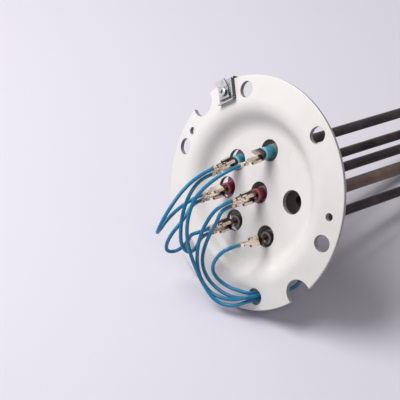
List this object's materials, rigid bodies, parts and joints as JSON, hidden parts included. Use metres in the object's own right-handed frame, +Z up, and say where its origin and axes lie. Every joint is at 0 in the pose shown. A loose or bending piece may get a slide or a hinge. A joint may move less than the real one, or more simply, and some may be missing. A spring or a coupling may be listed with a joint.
{
  "type": "flanged electric heating element",
  "caption": "Round dished flange with a hexagonal bolt pattern carrying U-shaped heater rods, a thermostat pocket, coloured terminal beads, push-on connectors and blue leads",
  "frame": {"origin": "Centre of the bolt circle, inside the thickness of the flange there", "axes": "+Y is the flange axis on the rods' side, where the rods lean 13 degrees up from it; -Y faces the terminals, +Z is up, +X is to the right seen from the terminals"},
  "size_m": [0.1798, 0.3033, 0.1798],
  "materials": {
    "white_enamel": "white baked enamel, glossy, a little uneven",
    "oxidised_sheath": "dark brown oxidised steel sheath, satin",
    "dull_steel": "dull grey steel",
    "teal_bead": "teal insulating bead, satin",
    "red_bead": "dark red insulating bead, satin",
    "dark_bead": "near black insulating bead, satin",
    "tinned_brass": "tin-plated brass, worn",
    "zinc_steel": "zinc-plated steel, slightly dulled",
    "blue_insulation": "blue wire insulation, satin",
    "ferrule_tin": "tinned copper ferrule"
  },
  "bodies": {
    "root": {"carrier_studs": "dull_steel", "connector_t1_lower": "tinned_brass", "connector_t1_upper": "tinned_brass", "connector_t2_lower": "tinned_brass", "connector_t3_lower": "tinned_brass", "connector_t3_upper": "tinned_brass", "connector_t4_lower": "tinned_brass", "connector_t4_upper": "tinned_brass", "connector_t5_lower": "tinned_brass", "connector_t5_upper": "tinned_brass", "connector_t6_single": "tinned_brass", "earth_clip": "zinc_steel", "earth_saddle": "zinc_steel", "earth_screw": "zinc_steel", "element_carrier": "dull_steel", "element_lower": "oxidised_sheath", "element_middle": "oxidised_sheath", "element_upper": "oxidised_sheath", "end_sleeve_t1": "dull_steel", "end_sleeve_t2": "dull_steel", "end_sleeve_t3": "dull_steel", "end_sleeve_t4": "dull_steel", "end_sleeve_t5": "dull_steel", "end_sleeve_t6": "dull_steel", "flange_plate": "white_enamel", "insulator_t1": "teal_bead", "insulator_t2": "teal_bead", "insulator_t3": "red_bead", "insulator_t4": "red_bead", "insulator_t5": "dark_bead", "insulator_t6": "dark_bead", "jumper_long": "blue_insulation", "jumper_lower": "blue_insulation", "jumper_upper": "blue_insulation", "lead_1": "blue_insulation", "lead_1_ferrule": "ferrule_tin", "lead_2": "blue_insulation", "lead_2_ferrule": "ferrule_tin", "lead_3": "blue_insulation", "lead_3_ferrule": "ferrule_tin", "lead_4": "blue_insulation", "lead_4_ferrule": "ferrule_tin", "terminal_tab_t1": "tinned_brass", "terminal_tab_t2": "tinned_brass", "terminal_tab_t3": "tinned_brass", "terminal_tab_t4": "tinned_brass", "terminal_tab_t5": "tinned_brass", "terminal_tab_t6": "tinned_brass", "thermostat_pocket": "oxidised_sheath"}
  },
  "joints": []
}
